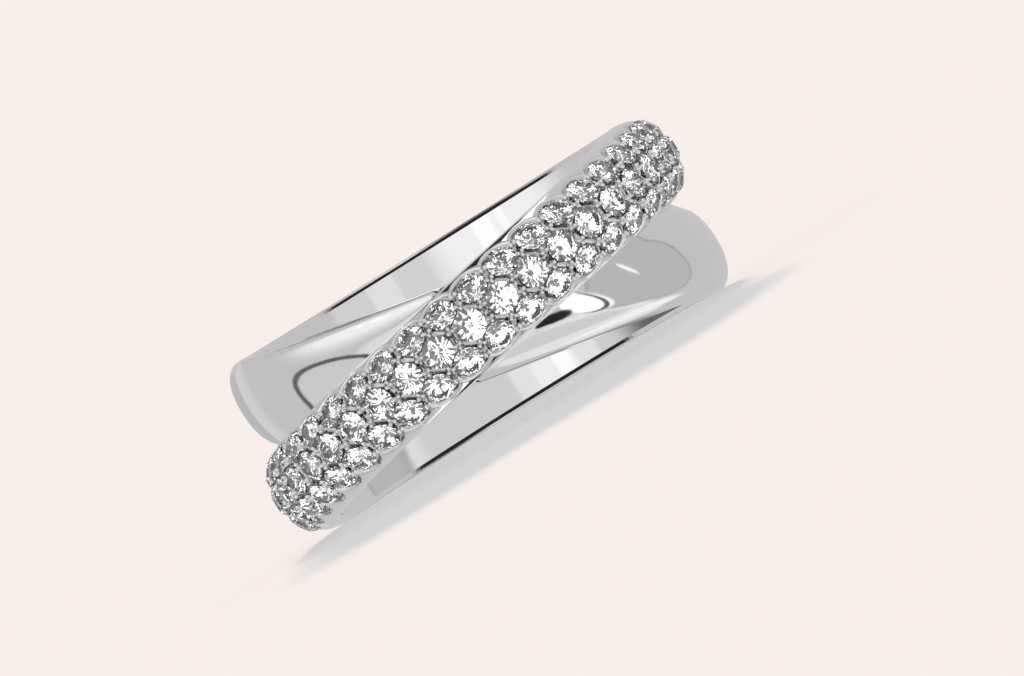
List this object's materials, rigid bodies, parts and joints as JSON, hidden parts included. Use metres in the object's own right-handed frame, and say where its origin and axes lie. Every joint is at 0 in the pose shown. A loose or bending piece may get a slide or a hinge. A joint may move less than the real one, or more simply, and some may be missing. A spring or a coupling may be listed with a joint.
{
  "type": "crossover ring",
  "caption": "Finger ring of white metal: a stone-set band and a plain polished band cross at the front and join in a wide plain shank behind.",
  "frame": {"origin": "middle of the finger hole, on its axis and halfway between the rims", "axes": "+Z along the finger hole; the bands cross at -Y; the ring lies on the rim at -Z; +X is to the right seen from the crossing"},
  "size_m": [0.0214, 0.0207, 0.0078],
  "materials": {
    "white_metal": "polished white metal",
    "stone": "clear cut stone"
  },
  "bodies": {
    "root": {"crossover_band": "white_metal", "pave_stones": "stone"}
  },
  "joints": []
}
